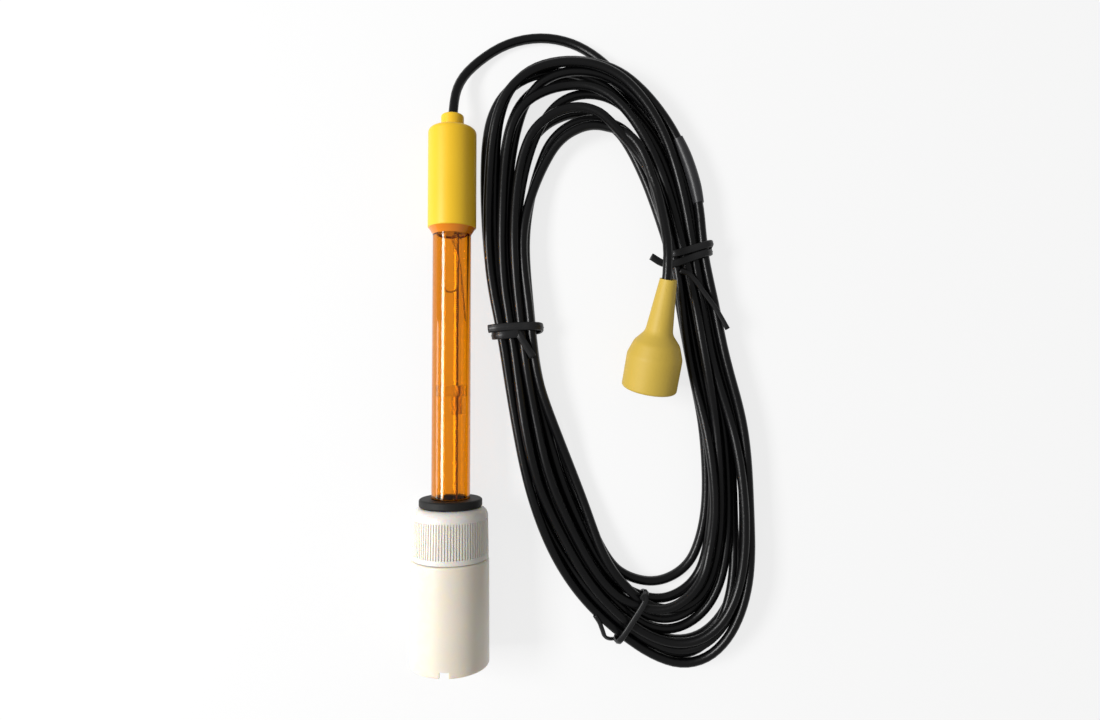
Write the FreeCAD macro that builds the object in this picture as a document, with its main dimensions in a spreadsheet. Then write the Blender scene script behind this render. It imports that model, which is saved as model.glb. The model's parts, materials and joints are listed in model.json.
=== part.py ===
import FreeCAD, Part
import math
import operator
import os

import Sketcher
from FreeCAD import Placement, Rotation, Vector

# Redox electrode, millimetres. It lies on a table with its storage bottle on, beside its coiled cable.
# The electrode is built upright on its own axis: height 0 is the foot rim of the storage bottle, and the
# cable leaves at the top. It is then laid down along +Y with the cable end at +Y, and up is +Z.
# The plug is built on its own axis too: height 0 is the mouth of its boot, and the cable leaves at the top.

SIZES = {
    # Fits
    "glue_gap": 0.05,
    "seal_gap": 0.05,
    "turning_gap": 0.3,
    # Body tube and the guard crown cut into its end
    "tube_dia": 12.0,
    "tube_wall": 1.2,
    "tube_length": 142.0,
    "shoulder_dia": 14.6,
    "shoulder_length": 2.1,
    "seat_groove_rise": 0.3,
    "seat_groove_width": 1.5,
    "seat_groove_depth": 0.3,
    "guard_depth": 8.0,
    "guard_slot_width": 3.2,
    "guard_slot_height": 5.5,
    "guard_slot_pairs": 2,
    # Tip plug, junction frit and the inner stem with its wires
    "tip_plug_length": 7.0,
    "frit_dia": 1.6,
    "frit_offset": 2.4,
    "frit_proud": 0.3,
    "stem_dia": 2.4,
    "stem_bore": 0.7,
    "stem_offset": 1.8,
    "stem_reach": 5.5,
    "stem_seat": 4.0,
    "wire_dia": 0.6,
    "platinum_length": 8.0,
    "platinum_reach": 1.2,
    # Collar across the bore and the short sleeve under it, measured down from the head cap
    "collar_drop": 49.4,
    "collar_thick": 3.2,
    "sleeve_dia": 3.6,
    "sleeve_length": 5.7,
    # Reference wire, a long loop with a free end, measured down from the head cap
    "reference_dia": 0.5,
    "loop_width": 4.1,
    "loop_top": 3.0,
    "loop_bottom": 20.4,
    "loop_front": 2.3,
    "fold_front": 3.1,
    "bend_drop": 10.2,
    "bend_side": 2.7,
    "free_end_drop": 29.3,
    "free_end_side": 4.2,
    "free_end_front": 0.9,
    # Head cap
    "head_dia": 15.2,
    "head_height": 31.7,
    "head_edge": 1.6,
    "head_lip": 0.4,
    "socket_depth": 16.0,
    "bung_length": 17.6,
    "potting_dia": 8.0,
    "potting_length": 14.0,
    "neck_dia": 7.2,
    "neck_length": 4.4,
    "neck_edge": 0.6,
    # Sealing washer
    "washer_dia": 19.6,
    "washer_thick": 2.6,
    "washer_edge": 0.7,
    # Storage cap and its liner
    "cap_step": 0.15,
    "cap_draft": 0.3,
    "cap_height": 15.5,
    "cap_wall": 1.25,
    "cap_crown_wall": 1.8,
    "cap_edge": 2.8,
    "liner_thick": 1.0,
    "rib_count": 84,
    "rib_width": 0.4,
    "rib_depth": 0.3,
    "rib_drop": 3.4,
    "rib_length": 10.6,
    # Storage bottle
    "bottle_dia": 24.3,
    "bottle_draft": 0.15,
    "bottle_height": 32.2,
    "bottle_wall": 1.25,
    "bottle_floor": 1.0,
    "bottle_edge": 0.7,
    "seam_gap": 0.3,
    "foot_recess": 2.2,
    "foot_wall": 1.4,
    "notch_width": 2.9,
    "notch_height": 2.0,
    "thread_room": 0.95,
    "bottle_neck_wall": 1.4,
    "tip_gap": 5.8,
    # Cable
    "cable_dia": 3.0,
    "cable_hole_gap": 0.1,
    # Plug boot
    "boot_wall": 1.25,
    "boot_cup_length": 10.8,
    "boot_shoulder_dia": 14.4,
    "boot_shoulder_height": 15.0,
    "boot_cone_dia": 8.6,
    "boot_cone_height": 18.4,
    "boot_length": 35.0,
    "boot_neck_dia": 5.2,
    "boot_bore": 3.7,
    "boot_rim": 0.9,
    "boot_round": 4.0,
    "boot_tilt": 14.0,
    "boot_heading": 8.0,
    "boot_x": 62.1,
    "boot_y": -1.0,
    # Coupling ring
    "ring_dia": 14.3,
    "ring_bore": 9.9,
    "ring_recess": 0.6,
    "ring_length": 11.0,
    "ring_chamber_dia": 11.2,
    "ring_chamber_length": 2.6,
    "ring_lip": 1.0,
    "stud_count": 2,
    "slot_width": 2.2,
    "slot_dia": 11.4,
    "slot_start": 3.0,
    "slot_rise": 1.8,
    "slot_turn": 80.0,
    # Plug body, its contacts and seals
    "contact_dia": 8.1,
    "contact_wall": 0.5,
    "contact_recess": 1.2,
    "contact_slot": 0.5,
    "contact_slot_length": 5.0,
    "contact_slot_pairs": 2,
    "flange_dia": 9.6,
    "flange_thick": 0.9,
    "waist_dia": 7.6,
    "rear_dia": 8.6,
    "rear_length": 3.8,
    "crimp_neck_dia": 4.4,
    "crimp_neck_length": 6.0,
    "core_bore": 1.8,
    "insulator_dia": 4.7,
    "insulator_recess": 2.2,
    "insulator_length": 11.3,
    "insulator_bore": 1.5,
    "pin_dia": 1.37,
    "pin_recess": 1.6,
    "pin_length": 12.0,
    "gasket_seat_dia": 7.7,
    "gasket_seat_length": 1.0,
    "gasket_thick": 0.8,
    "gasket_wall": 0.75,
    "spring_thick": 1.4,
    "spring_wall": 1.2,
    "ferrule_wall": 0.65,
    "ferrule_length": 5.3,
    # Coil, its ties and the sleeve on one of its turns
    "coil_height": 8.5,
    "coil_edge": 2.2,
    "lead_first_run": 8.5,
    "tail_first_run": 17.5,
    "tie_width": 3.4,
    "tie_thick": 0.9,
    "tie_corner": 2.2,
    "tie_left_clear": 12.8,
    "tie_right_clear": 12.6,
    "tie_bottom_clear": 15.4,
    "shrink_dia": 4.0,
    "shrink_length": 22.6,
}

# Cable route from the head cap to the coil, by hand. Its first two points lie on the electrode's axis.
LEAD_ROUTE = [(1.4, 97.6, 4.2), (7.4, 105.2, 2.0), (17.0, 111.4, 1.6), (28.0, 113.4, 1.6), (38.2, 111.4, 1.8),
              (46.6, 105.8, 3.2), (53.6, 98.4, 4.2)]
# Cable route from the plug to the coil, by hand. Its first two points lie on the plug's axis.
TAIL_ROUTE = [(66.3, 53.3, 11.4), (63.0, 69.6, 6.4)]
# Outline of the coil seen from above, outer and inner, clockwise.
COIL_OUTER = [(8.5, 52), (8.5, 80), (12.5, 97), (21, 104.5), (35, 107.8), (48.5, 106), (61, 96.5), (73.5, 81),
              (79.8, 62), (80.6, 46), (84.6, 27), (88, 8), (94, -14), (96, -40), (95, -64), (87.5, -83),
              (75.5, -91.5), (62, -87), (47, -75), (31, -57), (21, -28), (16, 4), (12.5, 23), (9.3, 38)]
COIL_INNER = [(24, 46), (26, 18), (28.5, -1), (34.5, -19), (44, -42), (51, -58), (60, -68.5), (71.5, -68.5),
              (76.5, -57), (80.4, -35), (79, -13), (74.3, 11), (70.5, 33), (66, 52), (57.5, 73.5),
              (50.5, 84.5), (40, 86), (31, 76), (25, 60)]
# Each tie's middle on the table and the turn of its band in degrees.
TIES = {
    "tie_left": ((20.1, 17.4), 14.0),
    "tie_right": ((75.1, 41.5), 12.0),
    "tie_bottom": ((54.1, -71.7), 45.0),
}
SHRINK_START = (72.0, 78.2)
SHRINK_END = (77.0, 56.2)
# Degrees from the coupling ring's stud channels to the slots of the outer contact.
FINGER_TURN = 45

document = FreeCAD.newDocument("RedoxElectrode")
sheet = document.addObject("Spreadsheet::Sheet", "Sizes")
nodes = []


class Size:
    """A length that knows its value and its formula on the sheet."""

    OPERATIONS = {"+": operator.add, "-": operator.sub, "*": operator.mul, "/": operator.truediv}

    def __init__(self, value, formula):
        self.value = float(value)
        self.formula = formula

    @classmethod
    def join(cls, left, sign, right):
        """One size made from two sizes or numbers."""
        value = cls.OPERATIONS[sign](float(left), float(right))
        texts = [side.formula if isinstance(side, Size) else repr(float(side)) for side in (left, right)]
        return cls(value, f"({texts[0]} {sign} {texts[1]})")

    def __float__(self):
        return self.value

    def __add__(self, other):
        return Size.join(self, "+", other)

    def __sub__(self, other):
        return Size.join(self, "-", other)

    def __mul__(self, other):
        return Size.join(self, "*", other)

    def __truediv__(self, other):
        return Size.join(self, "/", other)


class Dimensions:
    """Every named size as a Size, after it is written to the sheet."""

    def __init__(self, sizes):
        for row, (name, value) in enumerate(sizes.items(), start=1):
            sheet.set(f"A{row}", name)
            sheet.set(f"B{row}", str(value))
            sheet.setAlias(f"B{row}", name)
            setattr(self, name, Size(value, f"Sizes.{name}"))


def bind(item, name, size):
    """Set a length or an angle of an object and tie it to the sheet."""
    setattr(item, name, float(size))
    item.setExpression(name, size.formula)


def origin_plane(body, role):
    """One of a body's own origin planes or axes."""
    return next(feature for feature in body.Origin.OriginFeatures if feature.Role == role)


def new_body(label, place):
    """An empty body that becomes one node."""
    body = document.addObject("PartDesign::Body", label)
    body.Label = label
    body.Placement = place
    nodes.append(body)
    return body


def new_sketch(body, name, role):
    """A sketch on one of a body's own origin planes."""
    sketch = body.newObject("Sketcher::SketchObject", name)
    sketch.AttachmentSupport = (origin_plane(body, role), [""])
    sketch.MapMode = "FlatFace"
    return sketch


def pin_down(sketch, geometry, point, across, up):
    """Fix one point of a sketch at two sizes from the origin; a plain 0 puts it on the axis."""
    for kind, axis, size in (("DistanceX", -2, across), ("DistanceY", -1, up)):
        if isinstance(size, Size):
            number = sketch.addConstraint(Sketcher.Constraint(kind, -1, 1, geometry, point, float(size)))
            sketch.setExpression(f"Constraints[{number}]", size.formula)
        else:
            sketch.addConstraint(Sketcher.Constraint("PointOnObject", geometry, point, axis))


def draw_outline(sketch, corners):
    """A closed outline of straight lines through corners, each corner tied to the sheet."""
    points = [Vector(float(across), float(up), 0) for across, up in corners]
    count = len(points)
    for index, point in enumerate(points):
        sketch.addGeometry(Part.LineSegment(point, points[(index + 1) % count]))
    for index in range(count):
        sketch.addConstraint(Sketcher.Constraint("Coincident", index, 2, (index + 1) % count, 1))
    for index, (across, up) in enumerate(corners):
        pin_down(sketch, index, 1, across, up)


def draw_slot(sketch, width, low, high):
    """A rectangle centred on the upright axis of a sketch."""
    first = sketch.GeometryCount
    half = float(width) / 2
    corners = [Vector(-half, float(low), 0), Vector(half, float(low), 0),
               Vector(half, float(high), 0), Vector(-half, float(high), 0)]
    for index, corner in enumerate(corners):
        sketch.addGeometry(Part.LineSegment(corner, corners[(index + 1) % 4]))
    for index in range(4):
        sketch.addConstraint(Sketcher.Constraint("Coincident", first + index, 2, first + (index + 1) % 4, 1))
    for index, kind in ((1, "Vertical"), (2, "Horizontal"), (3, "Vertical")):
        sketch.addConstraint(Sketcher.Constraint(kind, first + index))
    sketch.addConstraint(Sketcher.Constraint("Symmetric", first, 1, first, 2, -2))
    across = sketch.addConstraint(Sketcher.Constraint("DistanceX", first, 1, first, 2, float(width)))
    sketch.setExpression(f"Constraints[{across}]", width.formula)
    for line, height in ((first, low), (first + 2, high)):
        if isinstance(height, Size):
            up = sketch.addConstraint(Sketcher.Constraint("DistanceY", -1, 1, line, 1, float(height)))
            sketch.setExpression(f"Constraints[{up}]", height.formula)
        else:
            sketch.addConstraint(Sketcher.Constraint("PointOnObject", line, 1, -1))


def turned(label, corners, place):
    """A body turned about its own upright axis; corners are (radius, height) round its half section."""
    body = new_body(label, place)
    sketch = new_sketch(body, f"{label}_section", "XZ_Plane")
    draw_outline(sketch, corners)
    turn = body.newObject("PartDesign::Revolution", f"{label}_turned")
    turn.Profile = sketch
    turn.ReferenceAxis = (sketch, ["V_Axis"])
    turn.Angle = 360.0
    document.recompute()
    return body


def tube_section(inner, outer, low, high):
    """Corners of a plain ring or, with a plain 0 inside, of a rod."""
    return [(inner, low), (outer, low), (outer, high), (inner, high)]


def round_rims(body, name, rims, size):
    """Round a body's circular edges, each given by its radius and height."""
    base = body.Tip
    names = []
    for radius, height in rims:
        for number, edge in enumerate(base.Shape.Edges, start=1):
            circle = edge.Curve
            if not isinstance(circle, Part.Circle):
                continue
            on_rim = abs(circle.Radius - float(radius)) < 1e-4 and abs(circle.Center.z - float(height)) < 1e-4
            if on_rim and f"Edge{number}" not in names:
                names.append(f"Edge{number}")
    fillet = body.newObject("PartDesign::Fillet", name)
    fillet.Base = (base, names)
    bind(fillet, "Radius", size)
    document.recompute()


def cut(body, sketch, name, length, both_ways=False, backwards=False):
    """Cut a sketch out of a body, along the sketch's normal or against it."""
    before = body.Shape.Volume
    pocket = body.newObject("PartDesign::Pocket", name)
    pocket.Profile = sketch
    if both_ways:
        pocket.SideType = "Symmetric"
    pocket.Reversed = backwards
    bind(pocket, "Length", length)
    document.recompute()
    if body.Shape.Volume > before - 1e-3:
        raise RuntimeError(f"{name} removes nothing")
    return pocket


def repeat_round(body, name, features, count, sweep):
    """Repeat features of a body round its upright axis."""
    pattern = body.newObject("PartDesign::PolarPattern", name)
    pattern.Originals = features
    pattern.Axis = (origin_plane(body, "Z_Axis"), [""])
    pattern.Angle = sweep
    pattern.Occurrences = round(float(count))
    pattern.setExpression("Occurrences", count.formula)
    body.Tip = pattern
    document.recompute()


def drill(body, name, offset, diameter, depth, side=1):
    """Drill a hole up through a body, beside its axis."""
    sketch = new_sketch(body, f"{name}_circle", "XY_Plane")
    sketch.addGeometry(Part.Circle(Vector(side * float(offset), 0, 0), Vector(0, 0, 1), float(diameter / 2)))
    radius = sketch.addConstraint(Sketcher.Constraint("Radius", 0, float(diameter / 2)))
    sketch.setExpression(f"Constraints[{radius}]", (diameter / 2).formula)
    sketch.addConstraint(Sketcher.Constraint("PointOnObject", 0, 3, -1))
    ends = (-1, 1, 0, 3) if side > 0 else (0, 3, -1, 1)
    across = sketch.addConstraint(Sketcher.Constraint("DistanceX", *ends, float(offset)))
    sketch.setExpression(f"Constraints[{across}]", offset.formula)
    cut(body, sketch, name, depth, backwards=True)


def add_shape(label, shape):
    """A node whose shape is set directly."""
    feature = document.addObject("Part::Feature", label)
    feature.Label = label
    feature.Shape = shape
    nodes.append(feature)
    return feature


def rounded_path(points, closed=False, report=None):
    """Straight runs joined by tangent arcs, as large as the runs beside each corner allow."""
    count = len(points)
    corners = range(count) if closed else range(1, count - 1)
    arcs = {}
    radii = []
    for index in corners:
        before, corner, after = points[index - 1], points[index], points[(index + 1) % count]
        back, ahead = (before - corner), (after - corner)
        reach = 0.45 * min(back.Length, ahead.Length)
        back.normalize()
        ahead.normalize()
        half_turn = (math.pi - back.getAngle(ahead)) / 2
        radius = reach / math.tan(half_turn)
        middle = corner + (back + ahead).normalize() * (radius / math.cos(half_turn) - radius)
        arcs[index] = (corner + back * reach, middle, corner + ahead * reach)
        radii.append(radius)
    if report:
        print(f"{report}: bend radii " + ", ".join(f"{radius:.0f}" for radius in radii))
    edges = []
    last = arcs[count - 1][2] if closed else points[0]
    for index in corners:
        start, middle, end = arcs[index]
        edges.append(Part.LineSegment(last, start).toShape())
        edges.append(Part.Arc(start, middle, end).toShape())
        last = end
    if not closed:
        edges.append(Part.LineSegment(last, points[-1]).toShape())
    return Part.Wire(edges)


def round_bar(path, diameter):
    """A round bar along a path; its volume is compared with its section times its length."""
    start = path.Edges[0]
    ring = Part.makeCircle(float(diameter) / 2, start.valueAt(start.FirstParameter),
                           start.tangentAt(start.FirstParameter))
    bar = path.makePipeShell([Part.Wire(ring)], True, False)
    expected = math.pi * float(diameter) ** 2 / 4 * path.Length
    if abs(bar.Volume / expected - 1) > 0.01:
        raise RuntimeError(f"bar volume {bar.Volume:.1f}, expected {expected:.1f}")
    return bar


def rim_centre(height, radius, edge, taper, at_top):
    """Height and radius at which a rim's rounding is centred, and the rounding; the wall widens downward."""
    edge = float(edge)
    inward = -edge if at_top else edge
    wall = float(radius) - taper * inward
    return float(height) + inward, wall - edge * math.hypot(1, taper), edge


def contact_angle(foot, head):
    """Tilt at which two rims on one axis both touch the table."""
    rise = foot[1] - head[1]
    run = head[0] - foot[0]
    return math.atan2(rise, run) + math.asin((foot[2] - head[2]) / math.hypot(rise, run))


d = Dimensions(SIZES)

# Heights up the electrode's own axis
bottle_inside = d.foot_recess + d.bottle_floor
tube_end = bottle_inside + d.tip_gap
tube_top = tube_end + d.tube_length
head_foot = tube_top - d.socket_depth
head_top = head_foot + d.head_height
neck_top = head_top + d.neck_length
potting_top = tube_top + d.potting_length
bung_foot = tube_top - d.bung_length
tip_face = tube_end + d.guard_depth
tip_back = tip_face + d.tip_plug_length
cap_foot = d.bottle_height + d.seam_gap
cap_top = cap_foot + d.cap_height
washer_top = cap_top + d.washer_thick
liner_top = cap_top - d.cap_crown_wall
bottle_mouth = liner_top - d.liner_thick

# Radii of the electrode
tube_radius = d.tube_dia / 2
bore_radius = tube_radius - d.tube_wall
fill_radius = bore_radius - d.glue_gap
seal_radius = tube_radius + d.seal_gap
bottle_foot = d.bottle_dia / 2
bottle_shoulder = bottle_foot - d.bottle_draft
cap_rim = bottle_shoulder - d.cap_step
cap_crown = cap_rim - d.cap_draft
cap_bore = cap_rim - d.cap_wall
bottle_neck = cap_bore - d.thread_room
cable_radius = d.cable_dia / 2
cable_hole = cable_radius + d.cable_hole_gap

# The electrode rests on the top rim of its head cap and on the widest rim of the storage end
cap_taper = float(d.cap_draft / d.cap_height)
bottle_taper = float(d.bottle_draft / d.bottle_height)
head_rim = rim_centre(head_top, d.head_dia / 2, d.head_edge, 0.0, at_top=True)
storage_rims = [
    rim_centre(0.0, bottle_foot, d.bottle_edge, bottle_taper, at_top=False),
    rim_centre(d.bottle_height, bottle_shoulder, d.bottle_edge, bottle_taper, at_top=True),
    rim_centre(cap_foot, cap_rim, 0.0, cap_taper, at_top=False),
    rim_centre(cap_top, cap_crown, d.cap_edge, cap_taper, at_top=True),
]
lying_tilt, resting_rim = max((contact_angle(rim, head_rim), rim) for rim in storage_rims)
axis_rise = resting_rim[0] * math.sin(lying_tilt) + resting_rim[1] * math.cos(lying_tilt) + resting_rim[2]
far_end = float(neck_top) * math.cos(lying_tilt) + float(d.neck_dia / 2) * math.sin(lying_tilt)
near_end = -float(bottle_foot) * math.sin(lying_tilt)
electrode = Placement(Vector(0, -(far_end + near_end) / 2, axis_rise),
                      Rotation(Vector(1, 0, 0), -90 - math.degrees(lying_tilt)))


def beside_axis(offset):
    """The electrode's placement, moved sideways off its axis."""
    return electrode.multiply(Placement(Vector(float(offset), 0, 0), Rotation()))


def build_tube():
    """Body tube: a guard crown at its end, a groove for the washer and a shoulder under the head cap."""
    groove_top = washer_top + d.seat_groove_rise
    groove_foot = groove_top - d.seat_groove_width
    groove = tube_radius - d.seat_groove_depth
    body = turned("body_tube", [
        (bore_radius, tube_end), (tube_radius, tube_end), (tube_radius, groove_foot), (groove, groove_foot),
        (groove, groove_top), (tube_radius, groove_top), (tube_radius, head_foot - d.shoulder_length),
        (d.shoulder_dia / 2, head_foot), (tube_radius, head_foot), (tube_radius, tube_top),
        (bore_radius, tube_top)], electrode)
    sketch = new_sketch(body, "guard_slot", "XZ_Plane")
    draw_slot(sketch, d.guard_slot_width, tube_end, tube_end + d.guard_slot_height)
    slot = cut(body, sketch, "guard_slot_cut", d.tube_dia * 2, both_ways=True)
    repeat_round(body, "guard_crown", [slot], d.guard_slot_pairs, 90)


def build_tube_fillings():
    """Plugs that close the tube, with holes for the stem, its wire and the junction."""
    stem_hole = d.stem_dia + d.glue_gap * 2
    tip_plug = turned("tip_plug", tube_section(0, fill_radius, tip_face, tip_back), electrode)
    drill(tip_plug, "tip_stem_hole", d.stem_offset, stem_hole, tube_top)
    drill(tip_plug, "tip_frit_hole", d.frit_offset, d.frit_dia + d.glue_gap * 2, tube_top, side=-1)
    bung = turned("top_bung", tube_section(0, fill_radius, bung_foot, tube_top), electrode)
    drill(bung, "bung_stem_seat", d.stem_offset, stem_hole, bung_foot + d.stem_seat)
    drill(bung, "bung_wire_hole", d.stem_offset, d.stem_bore, tube_top * 2)
    collar_top = head_foot - d.collar_drop
    collar_foot = collar_top - d.collar_thick
    collar = turned("spacer_collar", tube_section(0, fill_radius, collar_foot, collar_top), electrode)
    drill(collar, "collar_stem_hole", d.stem_offset, stem_hole, tube_top)
    sleeve_end = collar_foot - d.sleeve_length
    turned("collar_sleeve", tube_section(stem_hole / 2, d.sleeve_dia / 2, sleeve_end, collar_foot),
           beside_axis(d.stem_offset))


def build_stem():
    """Inner stem with the platinum pin in its end, the lead wire behind it and the frit beside it."""
    stem_end = tip_face - d.stem_reach
    pin_end = stem_end - d.platinum_reach
    pin_top = pin_end + d.platinum_length
    turned("inner_stem", tube_section(d.stem_bore / 2, d.stem_dia / 2, stem_end, bung_foot + d.stem_seat),
           beside_axis(d.stem_offset))
    turned("platinum_pin", tube_section(0, d.wire_dia / 2, pin_end, pin_top), beside_axis(d.stem_offset))
    turned("lead_wire", tube_section(0, d.wire_dia / 2, pin_top, tube_top), beside_axis(d.stem_offset))
    turned("junction_frit", tube_section(0, d.frit_dia / 2, tip_face - d.frit_proud, tip_back + d.frit_proud),
           beside_axis(d.frit_offset * -1))


def build_reference_wire():
    """Wire that hangs from the bung in a long loop, folds over in front of itself and leans on the bore."""
    side = SIZES["loop_width"] / 2
    front = -SIZES["loop_front"]
    top = float(head_foot - d.loop_top)
    bottom = float(head_foot - d.loop_bottom)
    route = [
        Vector(-side, front, float(bung_foot)),
        Vector(-side, front, bottom),
        Vector(side, front, bottom),
        Vector(side, front, top),
        Vector(0, -SIZES["fold_front"], top),
        Vector(SIZES["bend_side"], -SIZES["fold_front"], float(head_foot - d.bend_drop)),
        Vector(SIZES["free_end_side"], -SIZES["free_end_front"], float(head_foot - d.free_end_drop)),
    ]
    wire = add_shape("reference_wire", round_bar(rounded_path(route), d.reference_dia))
    wire.Placement = electrode


def build_head():
    """Head cap with its cable neck, and the potting that fills it above the tube."""
    socket = tube_radius + d.glue_gap
    potting = d.potting_dia / 2
    head = d.head_dia / 2
    neck = d.neck_dia / 2
    body = turned("head_cap", [
        (socket, head_foot), (head, head_foot), (head, head_top), (neck, head_top), (neck, neck_top),
        (cable_hole, neck_top), (cable_hole, potting_top), (potting, potting_top), (potting, tube_top),
        (socket, tube_top)], electrode)
    round_rims(body, "head_top_edge", [(head, head_top)], d.head_edge)
    round_rims(body, "neck_edge", [(neck, neck_top)], d.neck_edge)
    round_rims(body, "head_lip", [(head, head_foot)], d.head_lip)
    turned("head_potting", tube_section(0, potting - d.glue_gap, tube_top, potting_top), electrode)


def build_storage():
    """Sealing washer on the shaft, the ribbed storage cap with its liner, and the bottle screwed into it."""
    washer_radius = d.washer_dia / 2
    washer = turned("sealing_washer",
                    tube_section(seal_radius, washer_radius, cap_top, washer_top), electrode)
    round_rims(washer, "washer_edges", [(washer_radius, cap_top), (washer_radius, washer_top)], d.washer_edge)

    hole = tube_radius + d.turning_gap
    cap = turned("storage_cap", [
        (cap_bore, cap_foot), (cap_rim, cap_foot), (cap_crown, cap_top), (hole, cap_top), (hole, liner_top),
        (cap_bore, liner_top)], electrode)
    round_rims(cap, "cap_crown_edge", [(cap_crown, cap_top)], d.cap_edge)
    groove = new_sketch(cap, "rib_groove", "XY_Plane")
    draw_slot(groove, d.rib_width, cap_crown - d.rib_depth, cap_rim + d.rib_depth)
    rib_foot = cap_top - d.rib_drop - d.rib_length
    groove.AttachmentOffset = Placement(Vector(0, 0, float(rib_foot)), Rotation())
    groove.setExpression("AttachmentOffset.Base.z", rib_foot.formula)
    groove_cut = cut(cap, groove, "rib_groove_cut", d.rib_length, backwards=True)
    repeat_round(cap, "cap_ribs", [groove_cut], d.rib_count, 360)
    turned("cap_liner", tube_section(seal_radius, cap_bore - d.glue_gap, bottle_mouth, liner_top), electrode)

    skirt = bottle_foot - d.foot_wall
    mouth = bottle_neck - d.bottle_neck_wall
    inside = bottle_shoulder - d.bottle_wall
    ceiling = d.bottle_height - d.bottle_wall
    bottle = turned("storage_bottle", [
        (0, d.foot_recess), (skirt, d.foot_recess), (skirt, 0), (bottle_foot, 0),
        (bottle_shoulder, d.bottle_height), (bottle_neck, d.bottle_height),
        (bottle_neck, bottle_mouth), (mouth, bottle_mouth), (mouth, ceiling),
        (inside, ceiling), (inside, bottle_inside), (0, bottle_inside)], electrode)
    round_rims(bottle, "bottle_edges", [(bottle_foot, 0), (bottle_shoulder, d.bottle_height)], d.bottle_edge)
    notch = new_sketch(bottle, "foot_notch", "XZ_Plane")
    draw_slot(notch, d.notch_width, 0, d.notch_height)
    cut(bottle, notch, "foot_notch_cut", d.bottle_dia, backwards=True)


ring_space = d.ring_dia / 2 + d.turning_gap
cup_radius = ring_space + d.boot_wall


def plug_placement():
    """The plug lies on the rim of its boot, its neck raised on the coil."""
    tilt = math.radians(SIZES["boot_tilt"])
    rim = SIZES["boot_rim"]
    rise = (float(cup_radius) - rim) * math.cos(tilt) + rim * (1 - math.sin(tilt))
    heading = Rotation(Vector(0, 0, 1), -SIZES["boot_heading"])
    lying = Rotation(Vector(1, 0, 0), SIZES["boot_tilt"] - 90)
    return Placement(Vector(SIZES["boot_x"], SIZES["boot_y"], rise), heading * lying)


plug = plug_placement()

# Heights up the plug's own axis
ring_end = d.ring_recess + d.ring_length
rear_front = ring_end + d.turning_gap
rear_back = rear_front + d.rear_length
crimp_end = rear_back + d.crimp_neck_length
chamber_top = ring_end - d.ring_lip
chamber_foot = chamber_top - d.ring_chamber_length
flange_back = chamber_foot + d.turning_gap
flange_front = flange_back - d.flange_thick
insulator_back = d.insulator_recess + d.insulator_length


def build_plug_body():
    """Plug body turned in one piece with its slotted outer contact, and what sits in and round it."""
    contact = d.contact_dia / 2
    contact_bore = contact - d.contact_wall
    flange = d.flange_dia / 2
    gasket_seat = d.gasket_seat_dia / 2
    seat_front = flange_front - d.gasket_seat_length
    waist = d.waist_dia / 2
    rear = d.rear_dia / 2
    crimp = d.crimp_neck_dia / 2
    core = d.core_bore / 2
    insulator = d.insulator_dia / 2
    seat = insulator + d.glue_gap
    body = turned("plug_body", [
        (contact_bore, d.contact_recess), (contact, d.contact_recess), (contact, seat_front),
        (gasket_seat, seat_front), (gasket_seat, flange_front),
        (flange, flange_front), (flange, flange_back), (waist, flange_back), (waist, rear_front),
        (rear, rear_front), (rear, rear_back), (crimp, rear_back), (crimp, crimp_end), (core, crimp_end),
        (core, insulator_back), (seat, insulator_back), (seat, flange_back),
        (contact_bore, flange_back)], plug)
    sketch = new_sketch(body, "contact_slot", "XZ_Plane")
    sketch.AttachmentOffset = Placement(Vector(), Rotation(Vector(0, 1, 0), FINGER_TURN))
    draw_slot(sketch, d.contact_slot, d.contact_recess, d.contact_recess + d.contact_slot_length)
    slot = cut(body, sketch, "contact_slot_cut", d.contact_dia * 2, both_ways=True)
    repeat_round(body, "contact_fingers", [slot], d.contact_slot_pairs, 90)
    turned("plug_insulator",
           tube_section(d.insulator_bore / 2, insulator, d.insulator_recess, insulator_back), plug)
    turned("plug_centre_pin",
           tube_section(0, d.pin_dia / 2, d.pin_recess, d.pin_recess + d.pin_length), plug)
    gasket = gasket_seat + d.glue_gap
    gasket_front = flange_front - d.gasket_thick
    turned("plug_gasket", tube_section(gasket, gasket + d.gasket_wall, gasket_front, flange_front), plug)
    spring = waist + d.glue_gap
    turned("plug_spring_washer",
           tube_section(spring, spring + d.spring_wall, flange_back, flange_back + d.spring_thick), plug)
    ferrule = crimp + d.glue_gap
    turned("crimp_ferrule",
           tube_section(ferrule, ferrule + d.ferrule_wall, rear_back, rear_back + d.ferrule_length), plug)


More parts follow.
